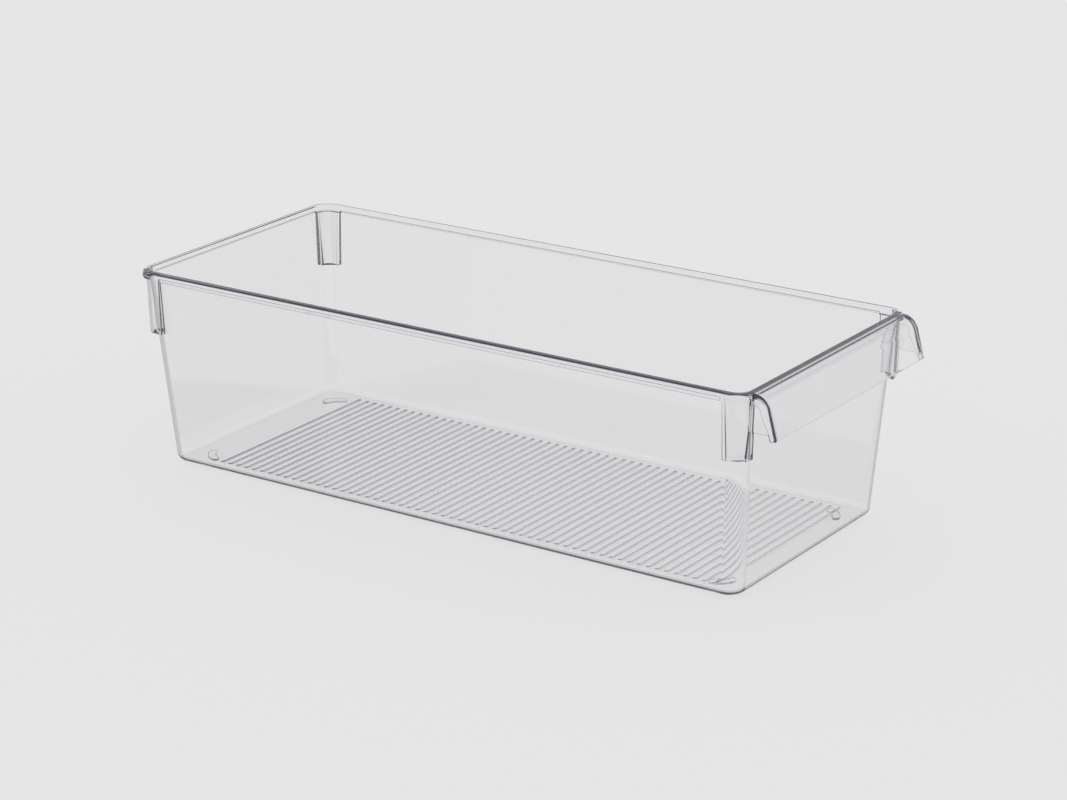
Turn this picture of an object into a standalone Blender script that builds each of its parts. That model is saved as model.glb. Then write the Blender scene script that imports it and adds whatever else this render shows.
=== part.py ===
"""Clear stacking bin for a refrigerator shelf, in metres, +Z up.

The real bin is one moulding.  Here it is the regions of that moulding: a
tapered tub with a ribbed floor, a rim with a turned-down edge, a pull lip
along the front with a cheek at each end, a stacking lug under each corner of
the rim and a curved foot under each corner of the floor.

X runs across the bin and Y along it, with the pull lip at the -Y end.  The
origin is at the centre of the bounding box's bottom face.  Every piece is
drawn about the centre of the rim and then placed by its location.
"""

import math

import bmesh
import bpy

# Rim: the outer rectangle of its plate, and the section of the plate and of its turned-down edge
RIM_LENGTH = 0.330
RIM_WIDTH = 0.1432
RIM_CORNER = 0.0100
RIM_OVERHANG = 0.0030
RIM_PLATE = 0.0020
RIM_EDGE_DROP = 0.0038
RIM_EDGE_WALL = 0.0014
RIM_OUTER_ROUND = 0.0008
RIM_INNER_ROUND = 0.0016

# Tub: its height to the top of the rim, how far its walls lean in on the way down, and its thicknesses
BODY_HEIGHT = 0.0950
SIDE_TAPER = 0.0068
END_TAPER = 0.00635
BASE_CORNER = 0.0110
WALL = 0.0018
FLOOR = 0.0020
OUTER_FILLET = 0.0030
INNER_FILLET = 0.0018

# Ribs across the floor, with the plain borders round them measured from the outside of the tub
RIB_PITCH = 0.004745
RIB_WIDTH = 0.0022
RIB_HEIGHT = 0.0005
RIB_FRONT_BORDER = 0.01555
RIB_BACK_BORDER = 0.0240
RIB_SIDE_BORDER = 0.0070

# Pull lip: its ends' distance in from the rim's sides, then an arc down from the rim's top and a straight run
LIP_SIDE_INSET = 0.0066
LIP_WALL = 0.0023
LIP_BEND = 0.0071
LIP_DROP = 0.0190
LIP_TURN = math.radians(75)

# Cheeks that close the lip's ends, with a level lower edge
CHEEK_WALL = 0.0018
CHEEK_DROP = 0.0170
CHEEK_TIP_DEPTH = 0.0036

# Corner lugs: how far they stand in from the rim's outer face, and their reach along each side
LUG_INSET = 0.0017
LUG_WALL = 0.0013
LUG_DROP = 0.0304
LUG_DRAFT = 0.0007
LUG_SIDE_REACH = 0.0133
LUG_END_REACH = 0.0101

# Feet: quarter rings under the corners of the floor
FOOT_HEIGHT = 0.0012
FOOT_OUTER = 0.0110
FOOT_BAND = 0.0038
FOOT_INSET = 0.0095
FOOT_MARGIN = math.radians(5)

# Gap between neighbouring pieces, how far a cutter passes through, and the distance that counts as touching
GAP = 0.0003
OVERRUN = 0.0020
TOUCH = 0.000001

# How finely round shapes are divided
CORNER_STEPS = 8
FILLET_STEPS = 3
BEND_STEPS = 10
RIB_END_STEPS = 6
SHARP_ANGLE = math.radians(35)

# Colour, roughness, refraction and see-through of the plastic
TINT = (0.86, 0.86, 0.89, 1)
ROUGHNESS = 0.04
REFRACTION = 1.58
COVER_SHARE = 0.35

# Heights and places that follow from the sizes
QUARTER = math.pi / 2
FLOOR_UNDER_Z = FOOT_HEIGHT
FLOOR_TOP_Z = FLOOR_UNDER_Z + FLOOR
RIM_TOP_Z = FLOOR_UNDER_Z + BODY_HEIGHT
RIM_UNDER_Z = RIM_TOP_Z - RIM_PLATE
WALL_TOP_Z = RIM_UNDER_Z - GAP
LIP_RUN = (LIP_DROP - LIP_BEND * (1 - math.cos(LIP_TURN))) / math.sin(LIP_TURN)
LIP_REACH = GAP + LIP_BEND * math.sin(LIP_TURN) + LIP_RUN * math.cos(LIP_TURN)
LIP_HALF_WIDTH = RIM_WIDTH / 2 - LIP_SIDE_INSET
RIM_CENTRE_Y = LIP_REACH / 2
RIM_FRONT_Y = -RIM_LENGTH / 2

# Rounded rectangles about the rim's centre: half width, half length and corner radius
RIM_OUTLINE = (RIM_WIDTH / 2, RIM_LENGTH / 2, RIM_CORNER)
MOUTH_OUTLINE = tuple(size - RIM_OVERHANG for size in RIM_OUTLINE)
BASE_OUTLINE = (MOUTH_OUTLINE[0] - SIDE_TAPER, MOUTH_OUTLINE[1] - END_TAPER, BASE_CORNER)

# The four corners, with the side of X and the side of Y that each is on
CORNERS = {
    "front_left": (-1, -1),
    "front_right": (1, -1),
    "back_left": (-1, 1),
    "back_right": (1, 1),
}


def inset(outline, margin):
    """Rounded rectangle that lies inside another by an equal margin."""
    return tuple(size - margin for size in outline)


def tub_outline(z):
    """Outside of the tub at a height, on the straight taper from the floor to the rim."""
    share = (z - FLOOR_UNDER_Z) / BODY_HEIGHT
    return tuple(low + (high - low) * share for low, high in zip(BASE_OUTLINE, MOUTH_OUTLINE))


def lug_outline(z):
    """Rounded rectangle that the lugs' outer faces follow at a height, with their draft."""
    share = (RIM_TOP_Z - z) / LUG_DROP
    return inset(RIM_OUTLINE, LUG_INSET + LUG_DRAFT * share)


def arc(centre, radius, start, end, steps):
    """Points on a circle from one angle to another, both ends included."""
    angles = [start + (end - start) * step / steps for step in range(steps + 1)]
    return [(centre[0] + radius * math.cos(a), centre[1] + radius * math.sin(a)) for a in angles]


def rounded_rectangle(outline):
    """Anticlockwise points round a rounded rectangle."""
    half_x, half_y, radius = outline
    points = []
    for turn, (side_x, side_y) in enumerate([(1, 1), (-1, 1), (-1, -1), (1, -1)]):
        centre = (side_x * (half_x - radius), side_y * (half_y - radius))
        points += arc(centre, radius, turn * QUARTER, (turn + 1) * QUARTER, CORNER_STEPS)
    return points


def new_collection(name):
    """Collection linked to the scene."""
    collection = bpy.data.collections.new(name)
    bpy.context.scene.collection.children.link(collection)
    return collection


def clear_plastic(name):
    """Clear styrene with a faint cool tint."""
    material = bpy.data.materials.new(name)
    material.use_nodes = True
    shader = material.node_tree.nodes["Principled BSDF"]
    shader.inputs["Base Color"].default_value = TINT
    shader.inputs["Roughness"].default_value = ROUGHNESS
    shader.inputs["Metallic"].default_value = 0
    shader.inputs["IOR"].default_value = REFRACTION
    shader.inputs["Alpha"].default_value = COVER_SHARE
    return material


def add_part(item, parts):
    """Place a sub-part about the rim's centre, give it its material and shade it smooth where it is round."""
    parts.objects.link(item)
    item.location.y += RIM_CENTRE_Y
    item.data.materials.append(clear_plastic(item.name))
    item.data.shade_smooth()
    item.data.set_sharp_from_angle(angle=SHARP_ANGLE)


def add_cutter(item, cutters):
    """Place a cutter about the rim's centre; it isn't part of the bin."""
    cutters.objects.link(item)
    item.location.y += RIM_CENTRE_Y
    item.hide_render = True
    item.display_type = "WIRE"
    return item


def combine(item, cutter, operation):
    """Cut a solid, join another to it, or keep only what they share."""
    modifier = item.modifiers.new(cutter.name, "BOOLEAN")
    modifier.operation = operation
    modifier.object = cutter


def flat_curve(name, outlines):
    """2D curve through closed outlines, filled between them."""
    curve = bpy.data.curves.new(name, "CURVE")
    curve.dimensions = "2D"
    curve.fill_mode = "BOTH"
    for outline in outlines:
        spline = curve.splines.new("POLY")
        spline.points.add(len(outline) - 1)
        spline.use_cyclic_u = True
        for point, (u, v) in zip(spline.points, outline):
            point.co = (u, v, 0, 1)
    item = bpy.data.objects.new(name, curve)
    bpy.context.scene.collection.objects.link(item)
    return item


def solid_from(item):
    """Mesh object in place of a curve object, with its caps welded on."""
    bpy.context.view_layer.update()
    graph = bpy.context.evaluated_depsgraph_get()
    mesh = bpy.data.meshes.new_from_object(item.evaluated_get(graph))
    name, matrix = item.name, item.matrix_world.copy()
    bpy.data.objects.remove(item)

    form = bmesh.new()
    form.from_mesh(mesh)
    bmesh.ops.remove_doubles(form, verts=form.verts, dist=TOUCH)
    bmesh.ops.recalc_face_normals(form, faces=form.faces)
    form.to_mesh(mesh)
    form.free()
    solid = bpy.data.objects.new(name, mesh)
    solid.matrix_world = matrix
    return solid


def flat_solid(name, outlines, low, high):
    """Solid over flat outlines in XY, between two heights."""
    item = flat_curve(name, outlines)
    item.data.extrude = (high - low) / 2
    item.location.z = (low + high) / 2
    return solid_from(item)


def standing_solid(name, outline, low, high):
    """Solid over an outline in YZ, between two places along X."""
    item = flat_curve(name, [outline])
    item.data.extrude = (high - low) / 2
    item.location.x = (low + high) / 2
    item.rotation_euler = (QUARTER, 0, QUARTER)
    return solid_from(item)


def tapered_block(name, low_z, high_z, outline_at, fillet=0):
    """Loft between the rounded rectangles at two heights, with a round bottom edge."""
    form = bmesh.new()
    base = form.faces.new([form.verts.new((x, y, low_z)) for x, y in rounded_rectangle(outline_at(low_z))])
    grown = bmesh.ops.extrude_face_region(form, geom=[base])["geom"]
    top = next(item for item in grown if isinstance(item, bmesh.types.BMFace))
    for corner, (x, y) in zip(top.loops, rounded_rectangle(outline_at(high_z))):
        corner.vert.co = (x, y, high_z)
    bmesh.ops.recalc_face_normals(form, faces=form.faces)
    if fillet:
        bottom = [edge for edge in form.edges if all(abs(vert.co.z - low_z) < TOUCH for vert in edge.verts)]
        bmesh.ops.bevel(form, geom=bottom, offset=fillet, segments=FILLET_STEPS, profile=0.5, affect="EDGES")
    mesh = bpy.data.meshes.new(name)
    form.to_mesh(mesh)
    form.free()
    return bpy.data.objects.new(name, mesh)


def box_between(name, low, high):
    """Plain box between two opposite corners."""
    form = bmesh.new()
    bmesh.ops.create_cube(form, size=1)
    for vert in form.verts:
        vert.co = tuple(b if place > 0 else a for place, a, b in zip(vert.co, low, high))
    bmesh.ops.recalc_face_normals(form, faces=form.faces)
    mesh = bpy.data.meshes.new(name)
    form.to_mesh(mesh)
    form.free()
    return bpy.data.objects.new(name, mesh)


def rib_outline(y):
    """Outline of one floor rib: a bar with round ends, across the bin."""
    radius = RIB_WIDTH / 2
    reach = BASE_OUTLINE[0] - RIB_SIDE_BORDER - radius
    right = arc((reach, y), radius, -QUARTER, QUARTER, RIB_END_STEPS)
    left = arc((-reach, y), radius, QUARTER, 3 * QUARTER, RIB_END_STEPS)
    return right + left


def make_tub(parts, cutters):
    """Walls and floor, hollowed from above, with the ribs raised on the floor."""
    tub = tapered_block("tub", FLOOR_UNDER_Z, WALL_TOP_Z, tub_outline, OUTER_FILLET)

    def cavity_outline(z):
        return inset(tub_outline(z), WALL)

    cavity = tapered_block("tub_cavity", FLOOR_TOP_Z, WALL_TOP_Z + OVERRUN, cavity_outline, INNER_FILLET)
    combine(tub, add_cutter(cavity, cutters), "DIFFERENCE")

    first = RIB_FRONT_BORDER - BASE_OUTLINE[1]
    last = BASE_OUTLINE[1] - RIB_BACK_BORDER
    count = 1 + int((last - first) / RIB_PITCH)
    outlines = [rib_outline(first + index * RIB_PITCH) for index in range(count)]
    ribs = flat_solid("floor_ribs", outlines, FLOOR_TOP_Z - FLOOR / 2, FLOOR_TOP_Z + RIB_HEIGHT)
    combine(tub, add_cutter(ribs, cutters), "UNION")
    add_part(tub, parts)


def rim_section():
    """Section of the rim as distances in from its outer face and heights."""
    inner = RIM_OVERHANG + WALL
    inner_centre = (inner - RIM_INNER_ROUND, RIM_TOP_Z - RIM_INNER_ROUND)
    outer_centre = (RIM_OUTER_ROUND, RIM_TOP_Z - RIM_OUTER_ROUND)
    edge_bottom = RIM_TOP_Z - RIM_EDGE_DROP
    section = [(inner, RIM_UNDER_Z)]
    section += arc(inner_centre, RIM_INNER_ROUND, 0, QUARTER, FILLET_STEPS)
    section += arc(outer_centre, RIM_OUTER_ROUND, QUARTER, 2 * QUARTER, FILLET_STEPS)
    section += [(0, edge_bottom), (RIM_EDGE_WALL, edge_bottom), (RIM_EDGE_WALL, RIM_UNDER_Z)]
    return section


def make_rim(parts, cutters):
    """Rim swept round the mouth, its turned-down edge cut away where the pull lip takes its place."""
    section = flat_curve("rim_section", [rim_section()])
    path = flat_curve("rim", [rounded_rectangle(RIM_OUTLINE)])
    path.data.bevel_mode = "OBJECT"
    path.data.bevel_object = section
    rim = solid_from(path)
    bpy.data.objects.remove(section)

    reach = LIP_HALF_WIDTH + GAP
    low = (-reach, RIM_FRONT_Y - OVERRUN, RIM_TOP_Z - RIM_EDGE_DROP - OVERRUN)
    high = (reach, RIM_FRONT_Y + RIM_EDGE_WALL + GAP, RIM_UNDER_Z)
    combine(rim, add_cutter(box_between("lip_opening", low, high), cutters), "DIFFERENCE")
    add_part(rim, parts)


def lip_outer(depth=0):
    """Points down the outside of the pull lip in YZ, or along a line at a depth inside it."""
    centre = (RIM_FRONT_Y - GAP, RIM_TOP_Z - LIP_BEND)
    points = arc(centre, LIP_BEND - depth, QUARTER, QUARTER + LIP_TURN, BEND_STEPS)
    last_y, last_z = points[-1]
    tip = (last_y - LIP_RUN * math.cos(LIP_TURN), last_z - LIP_RUN * math.sin(LIP_TURN))
    return points + [tip]


def make_pull_lip(parts):
    """Curved lip along the front, between the cheeks."""
    outline = lip_outer() + lip_outer(LIP_WALL)[::-1]
    reach = LIP_HALF_WIDTH - CHEEK_WALL - GAP
    add_part(standing_solid("pull_lip", outline, -reach, reach), parts)


def make_cheek(name, side, parts):
    """Plate across one end of the pull lip, from its outer face back to the front lug."""
    level = RIM_TOP_Z - CHEEK_DROP
    tip_y, tip_z = lip_outer(CHEEK_TIP_DEPTH)[-1]
    slope = math.cos(LIP_TURN) / math.sin(LIP_TURN)
    outline = lip_outer()
    outline += [(tip_y, tip_z), (tip_y + (level - tip_z) * slope, level)]
    outline += [(-lug_outline(z)[1] - GAP, z) for z in (level, WALL_TOP_Z)]
    outline += [(RIM_FRONT_Y - GAP, WALL_TOP_Z)]
    ends = sorted((side * LIP_HALF_WIDTH, side * (LIP_HALF_WIDTH - CHEEK_WALL)))
    add_part(standing_solid(name, outline, *ends), parts)


def corner_region(name, sides, thickness, low_z, high_z, cutters):
    """Box that holds one corner of the rim as far in as the lugs reach, less a thickness."""
    width, length, _ = RIM_OUTLINE
    inner = (width - LUG_END_REACH + thickness, length - LUG_SIDE_REACH + thickness)
    outer = (width + OVERRUN, length + OVERRUN)
    spans = [sorted((side * near, side * far)) for side, near, far in zip(sides, inner, outer)]
    low, high = zip(*spans)
    return add_cutter(box_between(name, (*low, low_z), (*high, high_z)), cutters)


def make_lugs(parts, cutters):
    """Skirts round the rim's corners, open below, whose end webs stop short of the tub."""
    bottom = RIM_TOP_Z - LUG_DROP
    low, high = bottom - OVERRUN, WALL_TOP_Z + OVERRUN

    def clearance_outline(z):
        return inset(tub_outline(z), -GAP)

    def hollow_outline(z):
        return inset(lug_outline(z), LUG_WALL)

    clearance = add_cutter(tapered_block("tub_clearance", low, high, clearance_outline), cutters)
    for corner_name, sides in CORNERS.items():
        lug = tapered_block("corner_lug_" + corner_name, bottom, WALL_TOP_Z, lug_outline)
        hollow = add_cutter(tapered_block("lug_hollow_" + corner_name, low, high, hollow_outline), cutters)
        whole = corner_region("lug_region_" + corner_name, sides, 0, low, high, cutters)
        inside = corner_region(
            "hollow_region_" + corner_name, sides, LUG_WALL, low - OVERRUN, high + OVERRUN, cutters
        )
        combine(lug, whole, "INTERSECT")
        combine(hollow, inside, "INTERSECT")
        combine(lug, hollow, "DIFFERENCE")
        combine(lug, clearance, "DIFFERENCE")
        add_part(lug, parts)


def make_feet(parts):
    """Quarter rings under the floor's corners, each with its round side to the corner."""
    for corner_name, (side_x, side_y) in CORNERS.items():
        half_x, half_y, _ = inset(BASE_OUTLINE, FOOT_INSET + FOOT_OUTER)
        centre = (side_x * half_x, side_y * half_y)
        middle = math.atan2(side_y, side_x)
        start, end = middle - QUARTER / 2 + FOOT_MARGIN, middle + QUARTER / 2 - FOOT_MARGIN
        outline = arc(centre, FOOT_OUTER, start, end, BEND_STEPS)
        outline += arc(centre, FOOT_OUTER - FOOT_BAND, end, start, BEND_STEPS)
        add_part(flat_solid("foot_" + corner_name, [outline], 0, FLOOR_UNDER_Z - GAP), parts)


def main():
    """Build the whole bin."""
    for old in list(bpy.data.objects):
        bpy.data.objects.remove(old)
    parts = new_collection("fridge_bin")
    cutters = new_collection("cutters")
    make_tub(parts, cutters)
    make_rim(parts, cutters)
    make_pull_lip(parts)
    make_cheek("handle_cheek_left", -1, parts)
    make_cheek("handle_cheek_right", 1, parts)
    make_lugs(parts, cutters)
    make_feet(parts)


main()
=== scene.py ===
"""Clear stacking bin for a refrigerator shelf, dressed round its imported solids.

The real bin is one shot of clear styrene, so what shows here is one seamless
closed surface with no wall inside it: a tapered tub with a ribbed floor, a rim
with a turned-down edge, a pull lip with a cheek at each end, four stacking
lugs and four feet.  Lengths are in metres, +Z is up, X runs across the bin and
Y along it, with the pull lip at the -Y end.
"""

import logging
import math
from dataclasses import dataclass, field
from enum import Enum
from typing import Iterator

import bmesh
import bpy
import numpy as np
from mathutils import Matrix, Vector


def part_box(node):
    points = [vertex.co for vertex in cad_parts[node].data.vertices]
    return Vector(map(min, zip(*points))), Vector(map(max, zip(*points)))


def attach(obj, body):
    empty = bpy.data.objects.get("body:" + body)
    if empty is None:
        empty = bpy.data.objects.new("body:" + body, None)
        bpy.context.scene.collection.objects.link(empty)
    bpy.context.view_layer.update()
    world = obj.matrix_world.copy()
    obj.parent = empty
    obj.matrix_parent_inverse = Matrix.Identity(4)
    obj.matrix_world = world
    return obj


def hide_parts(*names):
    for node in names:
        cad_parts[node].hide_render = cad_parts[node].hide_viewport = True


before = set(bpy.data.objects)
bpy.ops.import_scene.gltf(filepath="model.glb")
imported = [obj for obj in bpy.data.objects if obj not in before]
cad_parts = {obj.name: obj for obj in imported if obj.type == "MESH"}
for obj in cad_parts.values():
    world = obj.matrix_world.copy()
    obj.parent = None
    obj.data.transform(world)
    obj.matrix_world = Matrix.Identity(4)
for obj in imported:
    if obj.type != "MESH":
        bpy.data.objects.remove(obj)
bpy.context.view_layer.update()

LOG = logging.getLogger("fridge_bin")
MM = 0.001
QUARTER = math.pi / 2
WELD = 0.01 * MM
SHARP_ANGLE = math.radians(32)
Array = np.ndarray


class Corner(Enum):
    """The bin's four corners, each with its side of X and its side of Y."""

    FRONT_LEFT = (-1, -1)
    FRONT_RIGHT = (1, -1)
    BACK_LEFT = (-1, 1)
    BACK_RIGHT = (1, 1)

    @property
    def label(self) -> str:
        """Name of the corner as the CAD nodes end."""
        return self.name.lower()


def smooth_step(value: Array, low: float, high: float) -> Array:
    """Rise from 0 at low to 1 at high as 3 t squared less 2 t cubed, level at both ends.

    Args:
        value: Where to read the step.
        low: Value at which it leaves 0.
        high: Value at which it reaches 1.

    Returns:
        The step at each value.
    """
    t = np.clip((value - low) / (high - low), 0, 1)
    return t * t * (3 - 2 * t)


def fillet(start: float, end: float, steps: int) -> tuple[Array, Array]:
    """Cosine and sine at even angles, for a rounded edge.

    Args:
        start: First angle, in radians.
        end: Last angle, in radians.
        steps: Number of facets.

    Returns:
        The cosines and the sines, both ends included.
    """
    angle = np.linspace(start, end, steps + 1)
    return np.cos(angle), np.sin(angle)


@dataclass(frozen=True)
class Outline:
    """Rounded rectangle about the rim's centre: half sizes and corner radius, each a number or an array."""

    half_x: float | Array
    half_y: float | Array
    corner: float | Array

    def inset(self, margin: float | Array) -> "Outline":
        """Rounded rectangle that lies inside this one by an equal margin."""
        return Outline(self.half_x - margin, self.half_y - margin, self.corner - margin)

    def toward(self, other: "Outline", share: float | Array) -> "Outline":
        """Rounded rectangle part of the way from this one to another."""
        sizes = zip((self.half_x, self.half_y, self.corner), (other.half_x, other.half_y, other.corner))
        return Outline(*(mine + (theirs - mine) * share for mine, theirs in sizes))


@dataclass(frozen=True)
class Loop:
    """Stations once round a rounded rectangle, anticlockwise from the middle of the front of the right side.

    A station stands at a share from -1 to 1 of each straight side and at an angle on the corner arc, so it
    lies at (half size less corner radius) times its share, plus the radius times the cosine or sine.
    """

    share_x: Array
    share_y: Array
    cos: Array
    sin: Array

    @classmethod
    def through(cls, along_x: Array, along_y: Array, steps: int) -> "Loop":
        """Stations at the same shares on facing sides.

        Args:
            along_x: Rising shares from -1 to 1 on the two short sides.
            along_y: Rising shares from -1 to 1 on the two long sides.
            steps: Facets on each corner.

        Returns:
            The loop, with the ends of each straight side on the corner arcs' ends.
        """
        runs = [(along_y, 1), (along_x[::-1], 1), (along_y[::-1], -1), (along_x, -1)]
        share_x, share_y, angles = [], [], []
        for turn, (shares, side) in enumerate(runs):
            arc = np.linspace(0, QUARTER, steps + 1)[1:-1] + turn * QUARTER
            fixed = np.full(len(shares) + len(arc), float(side))
            moving = np.concatenate([shares, np.full(len(arc), shares[-1])])
            share_x.append(moving if turn % 2 else fixed)
            share_y.append(fixed if turn % 2 else moving)
            angles.append(np.concatenate([np.full(len(shares), turn * QUARTER), arc]))
        angle = np.concatenate(angles)
        return cls(np.concatenate(share_x), np.concatenate(share_y), np.cos(angle), np.sin(angle))

    def plan(self, outline: Outline) -> tuple[Array, Array]:
        """X and Y of every station, one row for each outline.

        Args:
            outline: Rounded rectangle whose sizes are arrays, one value a row.

        Returns:
            X and Y, each with a row for each outline and a column for each station.
        """
        half_x, half_y, corner = (
            np.atleast_1d(size)[:, None] for size in (outline.half_x, outline.half_y, outline.corner)
        )
        return (
            (half_x - corner) * self.share_x + corner * self.cos,
            (half_y - corner) * self.share_y + corner * self.sin,
        )


def grid_faces(rows: int, columns: int, closed: bool) -> Array:
    """Quads over a grid of vertices that is stored row by row.

    Args:
        rows: Number of rows.
        columns: Number of columns.
        closed: Whether the last column joins the first.

    Returns:
        Vertex numbers, four a face.
    """
    column = np.arange(columns if closed else columns - 1)
    following = (column + 1) % columns
    row = np.arange(rows - 1)[:, None] * columns
    corners = (row + column, row + following, row + columns + following, row + columns + column)
    return np.stack(corners, axis=-1).reshape(-1, 4)


def solid(name: str, points: Array, faces: list[Array]) -> bpy.types.Object:
    """Closed mesh object with its doubles merged and its faces turned outwards.

    Args:
        name: Object name.
        points: Vertex places, three columns.
        faces: Groups of faces, each an array of vertex numbers with a row for each face.

    Returns:
        The object, linked to the scene, at the origin.
    """
    mesh = bpy.data.meshes.new(name)
    mesh.from_pydata(points.tolist(), [], [row for group in faces for row in group.tolist()])
    form = bmesh.new()
    form.from_mesh(mesh)
    bmesh.ops.remove_doubles(form, verts=form.verts, dist=WELD)
    if form.calc_volume(signed=True) < 0:
        bmesh.ops.reverse_faces(form, faces=form.faces)
    form.to_mesh(mesh)
    form.free()
    item = bpy.data.objects.new(name, mesh)
    bpy.context.scene.collection.objects.link(item)
    return item


def loft(name: str, rings: Array) -> bpy.types.Object:
    """Solid between closed rings of points, with a flat cap on the first and on the last.

    Args:
        name: Object name.
        rings: Places, as ring by point by coordinate.

    Returns:
        The capped solid.
    """
    count, points, _ = rings.shape
    first = np.arange(points)[None, ::-1]
    last = np.arange(points)[None] + (count - 1) * points
    return solid(name, rings.reshape(-1, 3), [grid_faces(count, points, closed=True), first, last])


@dataclass(frozen=True)
class Mould:
    """Main sizes of the moulding, read from the frame, and the outlines that follow from them."""

    rim: Outline
    base: Outline
    centre_y: float
    floor_under: float
    rim_top: float
    overhang: float

    @classmethod
    def from_frame(
        cls, overhang: float, rim_corner: float, base_corner: float, tapers: tuple[float, float]
    ) -> "Mould":
        """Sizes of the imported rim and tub.

        Args:
            overhang: How far the rim stands out from the tub's walls.
            rim_corner: Corner radius of the rim.
            base_corner: Corner radius of the tub's base.
            tapers: How far the long and the short walls lean in on the way down.

        Returns:
            The moulding's main sizes.
        """
        low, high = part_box("rim")
        half_x, half_y = (high.x - low.x) / 2, (high.y - low.y) / 2
        rim = Outline(half_x, half_y, rim_corner)
        mouth = rim.inset(overhang)
        base = Outline(mouth.half_x - tapers[0], mouth.half_y - tapers[1], base_corner)
        floor_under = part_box("tub")[0].z
        return cls(rim, base, (low.y + high.y) / 2, floor_under, high.z, overhang)

    @property
    def height(self) -> float:
        """Height from the underside of the floor to the top of the rim."""
        return self.rim_top - self.floor_under

    @property
    def front(self) -> float:
        """Y of the rim's front face."""
        return self.centre_y - self.rim.half_y

    def wall(self, z: float | Array, margin: float | Array = 0.0) -> Outline:
        """Outside of the tub at a height, or a rounded rectangle inside it by a margin."""
        share = (z - self.floor_under) / self.height
        return self.base.toward(self.rim.inset(self.overhang), share).inset(margin)


@dataclass(frozen=True)
class FloorRibs:
    """Low round-topped ribs across the floor."""

    pitch: float = 4.745 * MM
    width: float = 3.9 * MM
    height: float = 0.34 * MM
    front_border: float = 15.55 * MM
    back_border: float = 24.0 * MM
    side_border: float = 7.0 * MM
    row_shares: tuple[float, ...] = (-0.5, -0.36, -0.18, 0.0, 0.18, 0.36, 0.5)

    def centres(self, base: Outline) -> Array:
        """Distance of each rib from the rim's centre along the bin."""
        first = self.front_border - base.half_y
        last = base.half_y - self.back_border
        return first + self.pitch * np.arange(1 + int((last - first) / self.pitch))

    def rows(self, base: Outline, reach: float) -> Array:
        """Places along the bin at which the floor needs a row of vertices.

        Args:
            base: Outside of the tub's base.
            reach: Distance of the last row from the rim's centre, on both sides.

        Returns:
            Rising distances from -reach to reach.
        """
        centres = self.centres(base)
        across = centres[:, None] + self.width * np.array(self.row_shares)
        between = (centres[1:] + centres[:-1]) / 2
        front = np.linspace(-reach, centres[0] - self.width, 4)
        back = np.linspace(centres[-1] + self.width, reach, 5)
        return np.sort(np.concatenate([across.ravel(), between, front, back]))

    def relief(self, x: Array, y: Array, base: Outline) -> Array:
        """Height of the floor over its plain level.

        The distance to the nearest rib's middle line, whose ends are round, gives a cosine hump:
        half the height times one plus the cosine of pi times twice the distance over the width.

        Args:
            x: Distances across the bin from the rim's centre.
            y: Distances along the bin from the rim's centre.
            base: Outside of the tub's base.

        Returns:
            Heights, in the shape of x and y.
        """
        centres = self.centres(base)
        nearest = np.clip(np.rint((y - centres[0]) / self.pitch), 0, len(centres) - 1)
        along = y - (centres[0] + nearest * self.pitch)
        straight = base.half_x - self.side_border - self.width / 2
        beyond = np.maximum(np.abs(x) - straight, 0)
        distance = np.hypot(along, beyond)
        return self.height / 2 * (1 + np.cos(math.pi * np.clip(2 * distance / self.width, 0, 1)))


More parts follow.
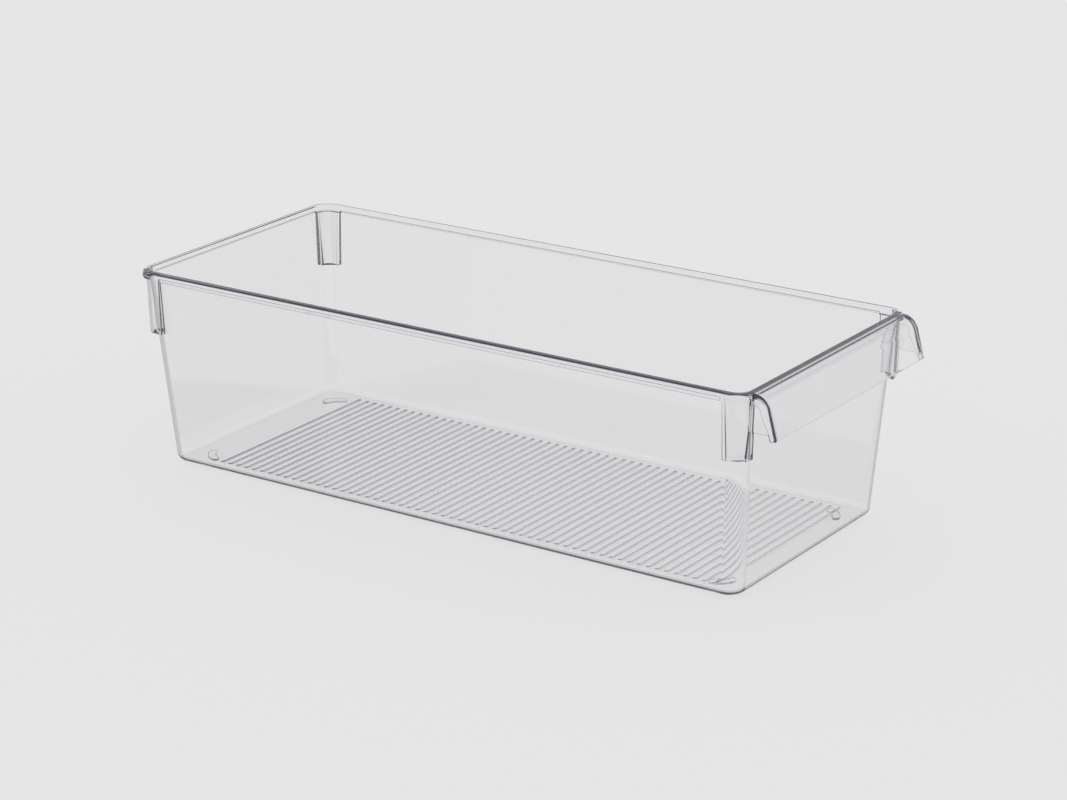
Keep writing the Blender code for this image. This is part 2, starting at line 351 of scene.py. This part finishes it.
@dataclass(frozen=True)
class TubAndRim:
    """Walls, floor and rim as one closed surface: a section carried once round the bin."""

    mould: Mould
    ribs: FloorRibs = field(default_factory=FloorRibs)
    wall: float = 1.8 * MM
    floor: float = 2.0 * MM
    outer_fillet: float = 3.6 * MM
    inner_fillet: float = 1.8 * MM
    plate: float = 2.3 * MM
    edge_drop: float = 3.8 * MM
    edge_wall: float = 1.8 * MM
    edge_round: float = 0.9 * MM
    outer_round: float = 1.45 * MM
    inner_round: float = 1.6 * MM
    groove_round: float = 0.4 * MM
    lip_reach: float = 64.0 * MM
    hold: float = 0.35 * MM
    corner_steps: int = 16
    round_steps: int = 6
    rings: int = 8
    columns: int = 9
    wall_rows: int = 4
    end_columns: tuple[float, ...] = (
        0.0, 0.3 * MM, 0.6 * MM, 0.9 * MM, 1.3 * MM, 1.8 * MM, 2.4 * MM, 3.2 * MM, 4.5 * MM
    )

    def section(self) -> tuple[Outline, Array, Array]:
        """Section of the moulding from the underside of the floor, up outside, over the rim and down inside.

        Each point is a margin in from a leaning wall line or from the rim's outer face, at a height.

        Returns:
            The outlines of the rows, their heights, and whether each row belongs to the turned-down edge.
        """
        mould, top = self.mould, self.mould.rim_top
        rows: list[tuple[Outline, float, bool]] = []

        def follow_wall(margins: Array | float, heights: Array | float) -> None:
            """Add rows that follow the leaning wall."""
            for margin, z in zip(np.atleast_1d(margins), np.atleast_1d(heights)):
                rows.append((mould.wall(z, margin), z, False))

        def follow_rim(margins: Array | float, heights: Array | float, edge: bool) -> None:
            """Add rows that follow the rim's outer face."""
            for margin, z in zip(np.atleast_1d(margins), np.atleast_1d(heights)):
                rows.append((mould.rim.inset(margin), z, edge))

        cos, sin = fillet(0, QUARTER, self.round_steps)
        under, base = mould.floor_under, self.outer_fillet
        plate_under, edge_bottom = top - self.plate, top - self.edge_drop

        # Underside of the floor, base edge and outside of the wall
        follow_wall([mould.base.corner - MM, base + self.hold], [under, under])
        follow_wall(base * (1 - sin), under + base * (1 - cos))
        outside = np.linspace(under + base + self.hold, plate_under - 4 * self.groove_round, self.wall_rows)
        follow_wall(np.zeros(self.wall_rows), outside)

        # Groove under the rim's plate, then the turned-down edge
        groove, lower = self.groove_round, self.edge_round
        follow_wall(-groove * (1 - cos), plate_under - groove * (1 - sin))
        follow_rim(self.edge_wall + groove * (1 - sin), plate_under - groove * (1 - cos), True)
        follow_rim(self.edge_wall - lower * (1 - cos), edge_bottom + lower * (1 - sin), True)
        follow_rim(lower * (1 - sin), edge_bottom + lower * (1 - cos), True)

        # Outer face, over the top and round into the mouth
        outer, inner = self.outer_round, self.inner_round
        follow_rim(0, top - outer - self.hold, False)
        follow_rim(outer * (1 - cos), top - outer * (1 - sin), False)
        follow_rim(outer + self.hold, top, False)
        follow_wall(self.wall - inner - self.hold, top)
        follow_wall(self.wall - inner * (1 - sin), top - inner * (1 - cos))

        # Inside of the wall and its fillet to the floor
        floor_top = under + self.floor
        inside = np.linspace(top - inner - self.hold, floor_top + 2 * self.inner_fillet, self.wall_rows)
        follow_wall(np.full(self.wall_rows, self.wall), inside)
        follow_wall(self.wall + self.inner_fillet * (1 - cos), floor_top + self.inner_fillet * (1 - sin))

        outlines, heights, edges = zip(*rows)
        sizes = zip(*((outline.half_x, outline.half_y, outline.corner) for outline in outlines))
        return Outline(*(np.array(size) for size in sizes)), np.array(heights), np.array(edges)

    def floor_rings(self) -> Outline:
        """Rings on the floor, from its fillet in to the rectangle where the corners have no radius left."""
        top = self.mould.floor_under + self.floor
        first, last = self.wall + self.inner_fillet + self.hold, self.mould.wall(top).corner
        return self.mould.wall(np.full(self.rings, top), np.linspace(first, last, self.rings))

    def floor_columns(self, reach: float) -> Array:
        """Places across the bin for the floor's columns of vertices, closer together at the ribs' ends."""
        ends = reach - np.array(self.end_columns)
        middle = np.linspace(-ends[-1], ends[-1], self.columns)
        return np.concatenate([-ends[:-1], middle, ends[:-1][::-1]])

    def build(self) -> bpy.types.Object:
        """Closed surface of the walls, the ribbed floor and the rim.

        A vertex stands at (outline of its row at its station, height of its row).  On the floor the ribs'
        relief is added to the height.  Along the front the turned-down edge is drawn up into the plate,
        because the pull lip takes its place.

        Returns:
            The solid.
        """
        mould = self.mould
        outlines, heights, edges = self.section()
        rings = self.floor_rings()
        floor_top = mould.floor_under + self.floor
        inner = mould.wall(floor_top)
        reach_x, reach_y = inner.half_x - inner.corner, inner.half_y - inner.corner
        rows_y = self.ribs.rows(mould.base, reach_y)
        columns_x = self.floor_columns(reach_x)
        loop = Loop.through(columns_x / reach_x, rows_y / reach_y, self.corner_steps)

        x, y = loop.plan(outlines)
        z = np.repeat(heights[:, None], x.shape[1], axis=1)
        front = (loop.sin < 0) & (np.abs(loop.plan(mould.rim)[0][0]) < self.lip_reach)
        lifted = edges[:, None] & front & (z < mould.rim_top - self.plate)
        z[lifted] = mould.rim_top - self.plate

        ring_x, ring_y = loop.plan(rings)
        ring_z = floor_top + self.ribs.relief(ring_x, ring_y, mould.base)
        grid_y, grid_x = np.meshgrid(rows_y, columns_x, indexing="ij")
        grid_z = floor_top + self.ribs.relief(grid_x, grid_y, mould.base)

        skin = np.stack([np.vstack([x, ring_x]), np.vstack([y, ring_y]), np.vstack([z, ring_z])], axis=-1)
        middle = np.stack([grid_x, grid_y, grid_z], axis=-1)
        points = np.vstack([skin.reshape(-1, 3), middle.reshape(-1, 3)])
        points[:, 1] += mould.centre_y
        stations = skin.shape[1]
        underside = np.arange(stations)[None, ::-1]
        floor_faces = grid_faces(len(rows_y), len(columns_x), closed=False) + skin.shape[0] * stations
        return solid("tub_and_rim", points, [grid_faces(skin.shape[0], stations, True), underside, floor_faces])


@dataclass(frozen=True)
class PullLip:
    """Curved lip along the front, with a rib and a thin web at each end that join it to the lugs."""

    mould: Mould
    half_width: float
    reach: float
    drop: float = 19.0 * MM
    root_wall: float = 2.0 * MM
    tip_wall: float = 2.3 * MM
    turn: float = math.radians(75)
    root_fillet: float = 4.2 * MM
    sink: float = 0.6 * MM
    rib_wall: float = 1.8 * MM
    rib_depth: float = 5.5 * MM
    rib_tip_depth: float = 3.6 * MM
    rib_fillet: float = 1.2 * MM
    web_wall: float = 0.9 * MM
    web_drop: float = 17.0 * MM
    tip_round: float = 0.7 * MM
    end_round: float = 0.35 * MM
    root_steps: int = 9
    bend_steps: int = 22
    run_steps: int = 8
    round_steps: int = 5

    def outer(self) -> tuple[Array, Array, Array]:
        """Outside of the lip in YZ: level from inside the wall, round a bend, then straight to the tip.

        The bend's radius R follows from the reach and the drop: with the turn T, the reach is
        R (sin T - (1 - cos T) / tan T) + drop / tan T.

        Returns:
            The points and the outward normals, each with two columns, and the way from the wall's outside.
        """
        sin, cos, tan = math.sin(self.turn), math.cos(self.turn), math.tan(self.turn)
        radius = (self.reach - self.drop / tan) / (sin - (1 - cos) / tan)
        top, wide = self.mould.rim_top, self.mould.overhang
        level = np.concatenate([[-self.sink], wide * np.linspace(0, 1, self.root_steps) ** 2])[:-1]
        root = np.stack([self.mould.front + wide - level, np.full_like(level, top)], axis=-1)
        angle = np.linspace(0, self.turn, self.bend_steps + 1)
        bend_y, bend_z = self.mould.front - radius * np.sin(angle), top - radius * (1 - np.cos(angle))
        bend = np.stack([bend_y, bend_z], axis=-1)
        normals = np.stack([-np.sin(angle), np.cos(angle)], axis=-1)
        run = (self.drop - radius * (1 - cos)) / sin
        along = np.linspace(0, run, self.run_steps + 1)[1:]
        straight = bend[-1] + along[:, None] * np.array([-cos, -sin])
        way = np.concatenate([level, wide + radius * angle, wide + radius * self.turn + along])
        points = np.vstack([root, bend, straight])
        upward = np.repeat([[0.0, 1.0]], len(level), axis=0)
        return points, np.vstack([upward, normals, np.repeat(normals[-1:], self.run_steps, axis=0)]), way

    def depth(self, way: Array, wall: Array) -> Array:
        """Thickness of the lip, with a fillet at its root.

        Within the fillet's radius f of the wall, the thickness grows by f less the root of (f squared less
        (f - way) squared).

        Args:
            way: Distance of each outer point from the wall's outside.
            wall: Thickness without the fillet.

        Returns:
            Thickness under each outer point.
        """
        f = self.root_fillet
        inward = np.clip(f - way, 0, f)
        arc = self.root_wall + f - np.sqrt(f * f - inward * inward)
        return np.maximum(wall, arc) + np.where(way < 0, self.sink, 0)

    def ring(self, depths: Array, shrink: float, web: bool) -> Array:
        """Closed section in YZ: down the outside, round the tip and back along the inside.

        Args:
            depths: Thickness under each outer point.
            shrink: How far the outside is drawn in, at a rounded end.
            web: Whether the inside runs along the web's level lower edge to the lug instead.

        Returns:
            The points, two columns.
        """
        outer, normals, _ = self.outer()
        tip = outer[-1]
        down = np.array([-math.cos(self.turn), -math.sin(self.turn)])
        cos, sin = fillet(0, QUARTER, self.round_steps)
        outside = outer - normals * shrink
        inside = outer - normals * depths[:, None]
        radius = self.tip_round
        inner_tip = inside[-1]
        outer_turn = (
            tip - down * radius - normals[-1] * radius
            + radius * (normals[-1] * cos[:, None] + down * sin[:, None])
        )
        outer_turn -= normals[-1] * shrink * cos[:, None]
        inner_turn = (
            inner_tip - down * radius + normals[-1] * radius
            + radius * (down * cos[:, None] - normals[-1] * sin[:, None])
        )
        if web:
            level = self.mould.rim_top - self.web_drop
            along = (level - inner_tip[1]) / -down[1]
            knee = inner_tip - down * along
            lug = np.array([inside[0, 0], level])
            shares = np.linspace(0, 1, len(inside) - 1)[::-1, None]
            edge = np.where(
                shares > 0.5,
                knee + (lug - knee) * (1 - shares) * 2,
                lug + np.array([0, self.web_drop - self.root_wall / 2]) * (1 - 2 * shares),
            )
            inside = np.vstack([edge[::-1], knee])
        return np.vstack([outside[:-1], outer_turn, inner_turn, inside[:-1][::-1]])

    def build(self) -> bpy.types.Object:
        """Lip, end ribs and webs as one solid: sections in YZ at places across the bin.

        Returns:
            The solid.
        """
        _, _, way = self.outer()
        share = np.clip(way / way[-1], 0, 1)
        plate = self.root_wall + (self.tip_wall - self.root_wall) * share
        lip = self.depth(way, plate)
        thinner = (self.rib_tip_depth - self.rib_depth) * smooth_step(share, 0.5, 1)
        rib = self.depth(way, self.rib_depth + thinner)
        cos, sin = fillet(0, QUARTER, self.round_steps)
        places: list[tuple[float, Array]] = [
            (self.half_width - self.end_round * (1 - c), self.ring(rib, self.end_round * (1 - s), True))
            for c, s in zip(cos, sin)
        ]
        web_in, rib_in = self.half_width - self.web_wall, self.half_width - self.rib_wall
        places.append((web_in, self.ring(rib, 0, True)))
        places.append((web_in, self.ring(rib, 0, False)))
        places.append((rib_in, self.ring(rib, 0, False)))
        for c, s in zip(cos, sin):
            bent = np.minimum(rib, lip + self.rib_fillet * (1 - s))
            places.append((rib_in - self.rib_fillet * (1 - c), self.ring(bent, 0, False)))
        stations = [(-at, ring) for at, ring in places] + [(at, ring) for at, ring in places[::-1]]
        rings = np.stack([np.column_stack([np.full(len(ring), at), ring]) for at, ring in stations])
        return loft("pull_lip_moulding", rings)


@dataclass(frozen=True)
class CornerLug:
    """Hollow skirt under one corner of the rim: an upright plate with a web back to the tub at each end."""

    mould: Mould
    corner: Corner
    inset: float = 1.7 * MM
    wall: float = 1.3 * MM
    drop: float = 30.4 * MM
    draft: float = 0.7 * MM
    side_reach: float = 13.3 * MM
    end_reach: float = 10.1 * MM
    bend: float = 0.35 * MM
    sink: float = 1.0 * MM
    fuse: float = 0.45 * MM
    fuse_drop: float = 3.4 * MM
    bottom_round: float = 0.5 * MM
    corner_steps: int = 16
    bend_steps: int = 4
    round_steps: int = 4

    def build(self) -> bpy.types.Object:
        """Plan outlines one above another: the lower edge rounded on both sides, then up into the rim.

        Returns:
            The solid.
        """
        top, bottom = self.mould.rim_top, self.mould.rim_top - self.drop
        cos, sin = fillet(0, QUARTER, self.round_steps)
        levels = [
            (self.bottom_round * (1 - s), self.bottom_round * (1 - s), bottom + self.bottom_round * (1 - c))
            for c, s in zip(cos, sin)
        ]
        fused = top - self.fuse_drop
        levels += [(0.0, 0.0, fused - self.fuse), (-self.fuse, 0.0, fused), (-self.fuse, 0.0, top - self.sink)]
        return loft("lug_" + self.corner.label, np.stack([self.plan(*level) for level in levels]))

    def plan(self, outer_margin: float, inner_margin: float, height: float) -> Array:
        """Outline at a height: out of the wall, round the corner into the wall again, and back inside.

        Each arc is a centre, a radius and two angles, and its points are the centre plus the radius times
        the cosine and the sine.

        Args:
            outer_margin: How far the outer face is drawn in.
            inner_margin: How far the inner face is drawn towards the outer one.
            height: Height of the outline.

        Returns:
            The points, three columns, on this lug's corner of the bin.
        """
        outer = self.mould.rim.inset(self.inset + self.draft * (self.mould.rim_top - height) / self.drop)
        side_start = self.mould.rim.half_y - self.side_reach
        end_start = self.mould.rim.half_x - self.end_reach
        behind = self.mould.wall(height, self.sink)
        middle_x, middle_y = outer.half_x - outer.corner, outer.half_y - outer.corner
        bend, thick = self.bend, self.wall - inner_margin
        arcs = [
            (outer.half_x - bend, side_start + bend, bend - outer_margin, -QUARTER, 0, self.bend_steps),
            (middle_x, middle_y, outer.corner - outer_margin, 0, QUARTER, self.corner_steps),
            (end_start + bend, outer.half_y - bend, bend - outer_margin, QUARTER, 2 * QUARTER, self.bend_steps),
        ]
        flat = [np.array([[behind.half_x, side_start + outer_margin]])]
        for centre_x, centre_y, radius, start, end, steps in arcs:
            cos, sin = fillet(start, end, steps)
            flat.append(np.stack([centre_x + radius * cos, centre_y + radius * sin], axis=-1))
        flat.append(np.array([
            [end_start + outer_margin, behind.half_y],
            [end_start + thick, behind.half_y],
            [end_start + thick, outer.half_y - thick],
        ]))
        cos, sin = fillet(QUARTER, 0, self.corner_steps)
        radius = outer.corner - thick
        flat.append(np.stack([middle_x + radius * cos, middle_y + radius * sin], axis=-1))
        flat.append(np.array([[outer.half_x - thick, side_start + thick], [behind.half_x, side_start + thick]]))
        side_x, side_y = self.corner.value
        x, y = np.vstack(flat).T
        return np.column_stack([side_x * x, side_y * y + self.mould.centre_y, np.full(len(x), height)])


@dataclass(frozen=True)
class Foot:
    """Curved foot under one corner of the floor: a quarter ring with round ends."""

    mould: Mould
    corner: Corner
    outer: float = 11.0 * MM
    band: float = 3.8 * MM
    inset: float = 9.5 * MM
    margin: float = math.radians(5)
    sink: float = 0.8 * MM
    edge_round: float = 0.35 * MM
    arc_steps: int = 20
    end_steps: int = 8
    round_steps: int = 4

    def build(self) -> bpy.types.Object:
        """Rings of one plan outline, drawn in at the lower edge as a quarter circle.

        The outline follows the outer arc, turns round a half circle at its end, comes back along the inner
        arc and turns again.  Drawn in by a margin m, the arcs' radii change by m and the half circles shrink.

        Returns:
            The solid.
        """
        cos, sin = fillet(0, QUARTER, self.round_steps)
        levels = [(self.edge_round * (1 - s), self.edge_round * (1 - c)) for c, s in zip(cos, sin)]
        levels.append((0.0, self.mould.floor_under + self.sink))
        rings = [self.plan(margin, height) for margin, height in levels]
        return loft("foot_" + self.corner.label, np.stack(rings))

    def plan(self, margin: float, height: float) -> Array:
        """Outline of the foot at a height, drawn in by a margin."""
        side_x, side_y = self.corner.value
        half = self.band / 2 - margin
        middle = self.outer - self.band / 2
        end_angle = half / middle
        start, end = self.margin + end_angle, QUARTER - self.margin - end_angle
        along = np.linspace(start, end, self.arc_steps + 1)
        turn = np.linspace(0, math.pi, self.end_steps + 1)[1:-1]
        outward = np.stack([np.cos(along), np.sin(along)], axis=-1)
        far = middle * outward[-1] + half * np.stack([np.cos(end + turn), np.sin(end + turn)], axis=-1)
        near = middle * outward[0] + half * np.stack(
            [np.cos(start + math.pi + turn), np.sin(start + math.pi + turn)], axis=-1
        )
        flat = np.vstack([(middle + half) * outward, far, (middle - half) * outward[::-1], near])
        centre = self.mould.base.inset(self.inset + self.outer)
        x = side_x * (centre.half_x + flat[:, 0])
        y = side_y * (centre.half_y + flat[:, 1]) + self.mould.centre_y
        return np.column_stack([x, y, np.full(len(x), height)])


class Socket:
    """Output of a shader node that takes part in sums, so a formula reads as it is written."""

    def __init__(self, tree: "ShaderTree", link: bpy.types.NodeSocket) -> None:
        """Wrap a node's output socket."""
        self.tree = tree
        self.link = link

    def _math(self, operation: str, first: "Socket | float", second: "Socket | float") -> "Socket":
        """Math node over two values."""
        return self.tree.node("ShaderNodeMath", {"operation": operation}, {0: first, 1: second})

    def __add__(self, other: "Socket | float") -> "Socket":
        """Sum."""
        return self._math("ADD", self, other)

    def __radd__(self, other: "Socket | float") -> "Socket":
        """Sum with the number first."""
        return self._math("ADD", other, self)

    def __sub__(self, other: "Socket | float") -> "Socket":
        """Difference."""
        return self._math("SUBTRACT", self, other)

    def __rsub__(self, other: "Socket | float") -> "Socket":
        """Difference with the number first."""
        return self._math("SUBTRACT", other, self)

    def __mul__(self, other: "Socket | float") -> "Socket":
        """Product."""
        return self._math("MULTIPLY", self, other)

    def __rmul__(self, other: "Socket | float") -> "Socket":
        """Product with the number first."""
        return self._math("MULTIPLY", other, self)


class ShaderTree:
    """Node tree of a material or of the world, filled through one method."""

    def __init__(self, tree: bpy.types.NodeTree) -> None:
        """Empty the tree."""
        self.tree = tree
        tree.nodes.clear()

    def node(self, kind: str, settings: dict, sockets: dict, output: str | int = 0) -> Socket | None:
        """Add a node.

        Args:
            kind: Blender's name of the node type.
            settings: Node attributes, set first.
            sockets: Input name or number to its value or to a Socket that feeds it.
            output: Which output to wrap.

        Returns:
            The wrapped output, or None for a node that ends its tree and has no output.
        """
        made = self.tree.nodes.new(kind)
        for attribute, value in settings.items():
            setattr(made, attribute, value)
        for key, value in sockets.items():
            if isinstance(value, Socket):
                self.tree.links.new(value.link, made.inputs[key])
            else:
                made.inputs[key].default_value = value
        return Socket(self, made.outputs[output]) if len(made.outputs) else None

    def mix(self, factor: Socket | float, first: Socket | tuple, second: Socket | tuple) -> Socket:
        """Colour between two colours, which a Mix node takes at its inputs 6 and 7 and gives at its output 2."""
        return self.node("ShaderNodeMix", {"data_type": "RGBA"}, {0: factor, 6: first, 7: second}, output=2)


@dataclass(frozen=True)
class ClearStyrene:
    """Clear moulded styrene: sharp refraction, a faint violet cast in thick sections, slow waves in the skin."""

    name: str = "clear_styrene"
    refraction: float = 1.58
    surface_tint: tuple[float, float, float, float] = (1.0, 1.0, 1.0, 1.0)
    flow_tint: tuple[float, float, float, float] = (0.996, 0.996, 0.999, 1.0)
    depth_tint: tuple[float, float, float, float] = (0.25, 0.20, 0.50, 1.0)
    depth_density: float = 6.0
    roughness: float = 0.015
    haze: float = 0.03
    flow_scale: float = 9.0
    wave_scale: float = 26.0
    wave_depth: float = 0.02 * MM

    def material(self) -> bpy.types.Material:
        """Material whose slow noise varies the tint, the haze and the skin."""
        material = bpy.data.materials.new(self.name)
        material.use_nodes = True
        tree = ShaderTree(material.node_tree)
        place = tree.node("ShaderNodeTexCoord", {}, {}, "Object")
        flow = tree.node(
            "ShaderNodeTexNoise", {}, {"Vector": place, "Scale": self.flow_scale, "Detail": 2.0}, "Fac"
        )
        waves = tree.node(
            "ShaderNodeTexNoise", {}, {"Vector": place, "Scale": self.wave_scale, "Detail": 1.0}, "Fac"
        )
        skin = tree.node(
            "ShaderNodeBump", {}, {"Strength": 1.0, "Distance": self.wave_depth, "Height": waves}, "Normal"
        )
        shader = tree.node(
            "ShaderNodeBsdfPrincipled",
            {},
            {
                "Base Color": tree.mix(flow, self.surface_tint, self.flow_tint),
                "Roughness": self.roughness + self.haze * flow,
                "IOR": self.refraction,
                "Transmission Weight": 1.0,
                "Normal": skin,
            },
        )
        depth = tree.node(
            "ShaderNodeVolumeAbsorption", {}, {"Color": self.depth_tint, "Density": self.depth_density}
        )
        tree.node("ShaderNodeOutputMaterial", {}, {"Surface": shader, "Volume": depth})
        return material


class FridgeBin:
    """The whole moulding: its regions built from the frame's sizes and joined with no wall between them."""

    def __init__(self) -> None:
        """Read the main sizes from the frame."""
        self.mould = Mould.from_frame(
            overhang=3.0 * MM, rim_corner=10.0 * MM, base_corner=8.0 * MM, tapers=(6.8 * MM, 6.35 * MM)
        )

    def regions(self) -> Iterator[bpy.types.Object]:
        """Solid of each region, the tub and rim first."""
        yield TubAndRim(self.mould).build()
        lip_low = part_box("pull_lip")[0]
        cheek_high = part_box("handle_cheek_right")[1]
        yield PullLip(self.mould, half_width=cheek_high.x, reach=self.mould.front - lip_low.y).build()
        for corner in Corner:
            yield CornerLug(self.mould, corner).build()
            yield Foot(self.mould, corner).build()

    def build(self) -> bpy.types.Object:
        """Join the regions into one closed surface and shade its rounds smooth."""
        body, *others = self.regions()
        for other in others:
            join = body.modifiers.new(other.name, "BOOLEAN")
            join.operation = "UNION"
            join.solver = "MANIFOLD"
            join.object = other
        bpy.context.view_layer.update()
        graph = bpy.context.evaluated_depsgraph_get()
        mesh = bpy.data.meshes.new_from_object(body.evaluated_get(graph))
        for used in [body, *others]:
            LOG.info("%s: %d faces", used.name, len(used.data.polygons))
            bpy.data.objects.remove(used)
        mesh.materials.clear()
        mesh.shade_smooth()
        mesh.set_sharp_from_angle(angle=SHARP_ANGLE)
        piece = bpy.data.objects.new("clear_moulding", mesh)
        bpy.context.scene.collection.objects.link(piece)
        normals = piece.modifiers.new("even_normals", "WEIGHTED_NORMAL")
        normals.keep_sharp = True
        LOG.info("%s: %d faces", piece.name, len(mesh.polygons))
        return piece

    def dress(self, piece: bpy.types.Object) -> None:
        """Give the moulding its finish and tie it to the frame."""
        piece.data.materials.append(ClearStyrene().material())
        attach(piece, "root")
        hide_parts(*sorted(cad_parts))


@dataclass(frozen=True)
class PhotoCamera:
    """Camera fitted to the photograph's rim and base lines."""

    focal_pixels: float = 3106.0
    image_width: int = 1067
    sensor: float = 36.0
    azimuth: float = math.radians(55.7134)
    elevation: float = math.radians(19.2277)
    roll: float = math.radians(-0.3125)
    place: tuple[float, float, float] = (-1109.295 * MM, -767.286 * MM, 511.977 * MM)
    half_pixel: float = 0.5

    def build(self, mould: Mould) -> bpy.types.Object:
        """Camera at the fitted place, which is measured from the centre of the rim at the floor's underside.

        Args:
            mould: Main sizes, for the rim's centre and the floor's underside.

        Returns:
            The camera.
        """
        data = bpy.data.cameras.new("photo_camera")
        data.sensor_fit = "HORIZONTAL"
        data.sensor_width = self.sensor
        data.lens = self.focal_pixels / self.image_width * self.sensor
        data.shift_x = -self.half_pixel / self.image_width
        data.shift_y = self.half_pixel / self.image_width
        data.clip_end = 50.0
        azimuth, elevation, roll = self.azimuth, self.elevation, self.roll
        forward = Vector((
            math.sin(azimuth) * math.cos(elevation),
            math.cos(azimuth) * math.cos(elevation),
            -math.sin(elevation),
        ))
        level = Vector((math.cos(azimuth), -math.sin(azimuth), 0))
        above = level.cross(forward)
        right = math.cos(roll) * level + math.sin(roll) * above
        up = -math.sin(roll) * level + math.cos(roll) * above
        camera = bpy.data.objects.new("photo_camera", data)
        turn = Matrix((right, up, -forward)).transposed().to_4x4()
        offset = Vector((0, mould.centre_y, mould.floor_under))
        camera.matrix_world = Matrix.Translation(Vector(self.place) + offset) @ turn
        bpy.context.scene.collection.objects.link(camera)
        bpy.context.scene.camera = camera
        return camera


@dataclass(frozen=True)
class Studio:
    """Pale paper floor and soft even light, with painted shade: floor and world turn dark for rays reflected
    inside the plastic, which draws the plastic's dark edge lines.
    """

    paper: float = 0.79
    floor_half: float = 12.0
    light: float = 1.0
    shadow_share: float = 0.12
    overhead: tuple[float, float, float] = (0.48, 0.48, 0.55)
    low: float = math.radians(20)
    high: float = math.radians(46)
    # Painted shade: a dark tone that only rays reflected inside the plastic see, to darken its edges.
    painted_shade_room: tuple[float, float, float] = (0.035, 0.029, 0.060)
    painted_shade_cap: float = 0.9
    painted_shade_step: float = 0.28
    bounces: int = 96

    def build(self) -> None:
        """Make the floor and the world."""
        self.floor()
        self.world()
        scene = bpy.context.scene
        scene.view_settings.view_transform = "Standard"
        scene.cycles.max_bounces = self.bounces
        scene.cycles.transmission_bounces = self.bounces
        scene.cycles.glossy_bounces = self.bounces

    def ray(self, tree: ShaderTree) -> tuple[Socket, Socket]:
        """Kind of ray that meets the floor or the world.

        Args:
            tree: Material or world tree to add the nodes to.

        Returns:
            1 for a ray whose tone is seen, by the camera or by way of the plastic, and the share of painted
            shade, a dark tone standing in for shade, that it gets, which grows with the square of its
            reflections inside the plastic.
        """
        camera, glossy, through, depth = (
            tree.node("ShaderNodeLightPath", {}, {}, name)
            for name in ("Is Camera Ray", "Is Glossy Ray", "Is Transmission Ray", "Glossy Depth")
        )
        # Painted shade grows with the square of the reflections inside the plastic, up to a cap.
        painted_shade_growth = depth * depth * self.painted_shade_step
        painted_shade_share = tree.node("ShaderNodeMath", {"operation": "MINIMUM"}, {0: painted_shade_growth, 1: self.painted_shade_cap})
        return camera + glossy + through, painted_shade_share * through

    def grey(self, value: float) -> tuple[float, float, float, float]:
        """Neutral colour."""
        return (value, value, value, 1.0)

    def floor(self) -> bpy.types.Object:
        """Large level sheet of matt grey paper, one thousandth of a millimetre under the feet."""
        half = self.floor_half
        points = np.array([[-half, -half, 0], [half, -half, 0], [half, half, 0], [-half, half, 0]])
        mesh = bpy.data.meshes.new("paper_floor")
        mesh.from_pydata((points - [0, 0, 0.001 * MM]).tolist(), [], [(0, 1, 2, 3)])
        item = bpy.data.objects.new("paper_floor", mesh)
        bpy.context.scene.collection.objects.link(item)
        material = bpy.data.materials.new("matt_paper")
        material.use_nodes = True
        tree = ShaderTree(material.node_tree)
        seen, painted_shade_share = self.ray(tree)
        matt = tree.node("ShaderNodeBsdfDiffuse", {}, {"Color": self.grey(self.paper)})
        # Painted shade: the floor turns dark for rays reflected inside the plastic.
        tone = tree.mix(painted_shade_share, self.grey(self.paper), (*self.painted_shade_room, 1.0))
        plain = tree.node("ShaderNodeEmission", {}, {"Color": tone, "Strength": 1.0})
        shader = tree.node("ShaderNodeMixShader", {}, {0: seen * (1 - self.shadow_share), 1: matt, 2: plain})
        tree.node("ShaderNodeOutputMaterial", {}, {"Surface": shader})
        mesh.materials.append(material)
        return item

    def world(self) -> None:
        """Even light all round; the plastic sees the pale backdrop low down, a greyer room overhead, and painted
        shade after reflections inside it.
        """
        world = bpy.data.worlds.new("soft_studio")
        world.use_nodes = True
        bpy.context.scene.world = world
        tree = ShaderTree(world.node_tree)
        seen, painted_shade_share = self.ray(tree)
        direction = tree.node("ShaderNodeTexCoord", {}, {}, "Generated")
        height = tree.node("ShaderNodeSeparateXYZ", {}, {0: direction}, "Z")
        rise = tree.node(
            "ShaderNodeMapRange",
            {"interpolation_type": "SMOOTHSTEP"},
            {0: height, 1: math.sin(self.low), 2: math.sin(self.high)},
        )
        above = tree.mix(rise, self.grey(self.paper), (*self.overhead, 1.0))
        # Painted shade: the world turns dark for rays reflected inside the plastic.
        painted_shade_room = tree.mix(painted_shade_share, above, (*self.painted_shade_room, 1.0))
        tone = tree.mix(seen, self.grey(self.light), painted_shade_room)
        shader = tree.node("ShaderNodeBackground", {}, {"Color": tone, "Strength": 1.0})
        tree.node("ShaderNodeOutputWorld", {}, {"Surface": shader})


def main() -> None:
    """Build the bin, its studio and its camera."""
    logging.basicConfig(level=logging.INFO, format="%(name)s: %(message)s")
    fridge_bin = FridgeBin()
    PhotoCamera().build(fridge_bin.mould)
    piece = fridge_bin.build()
    fridge_bin.dress(piece)
    Studio().build()


if __name__ == "__main__":
    main()
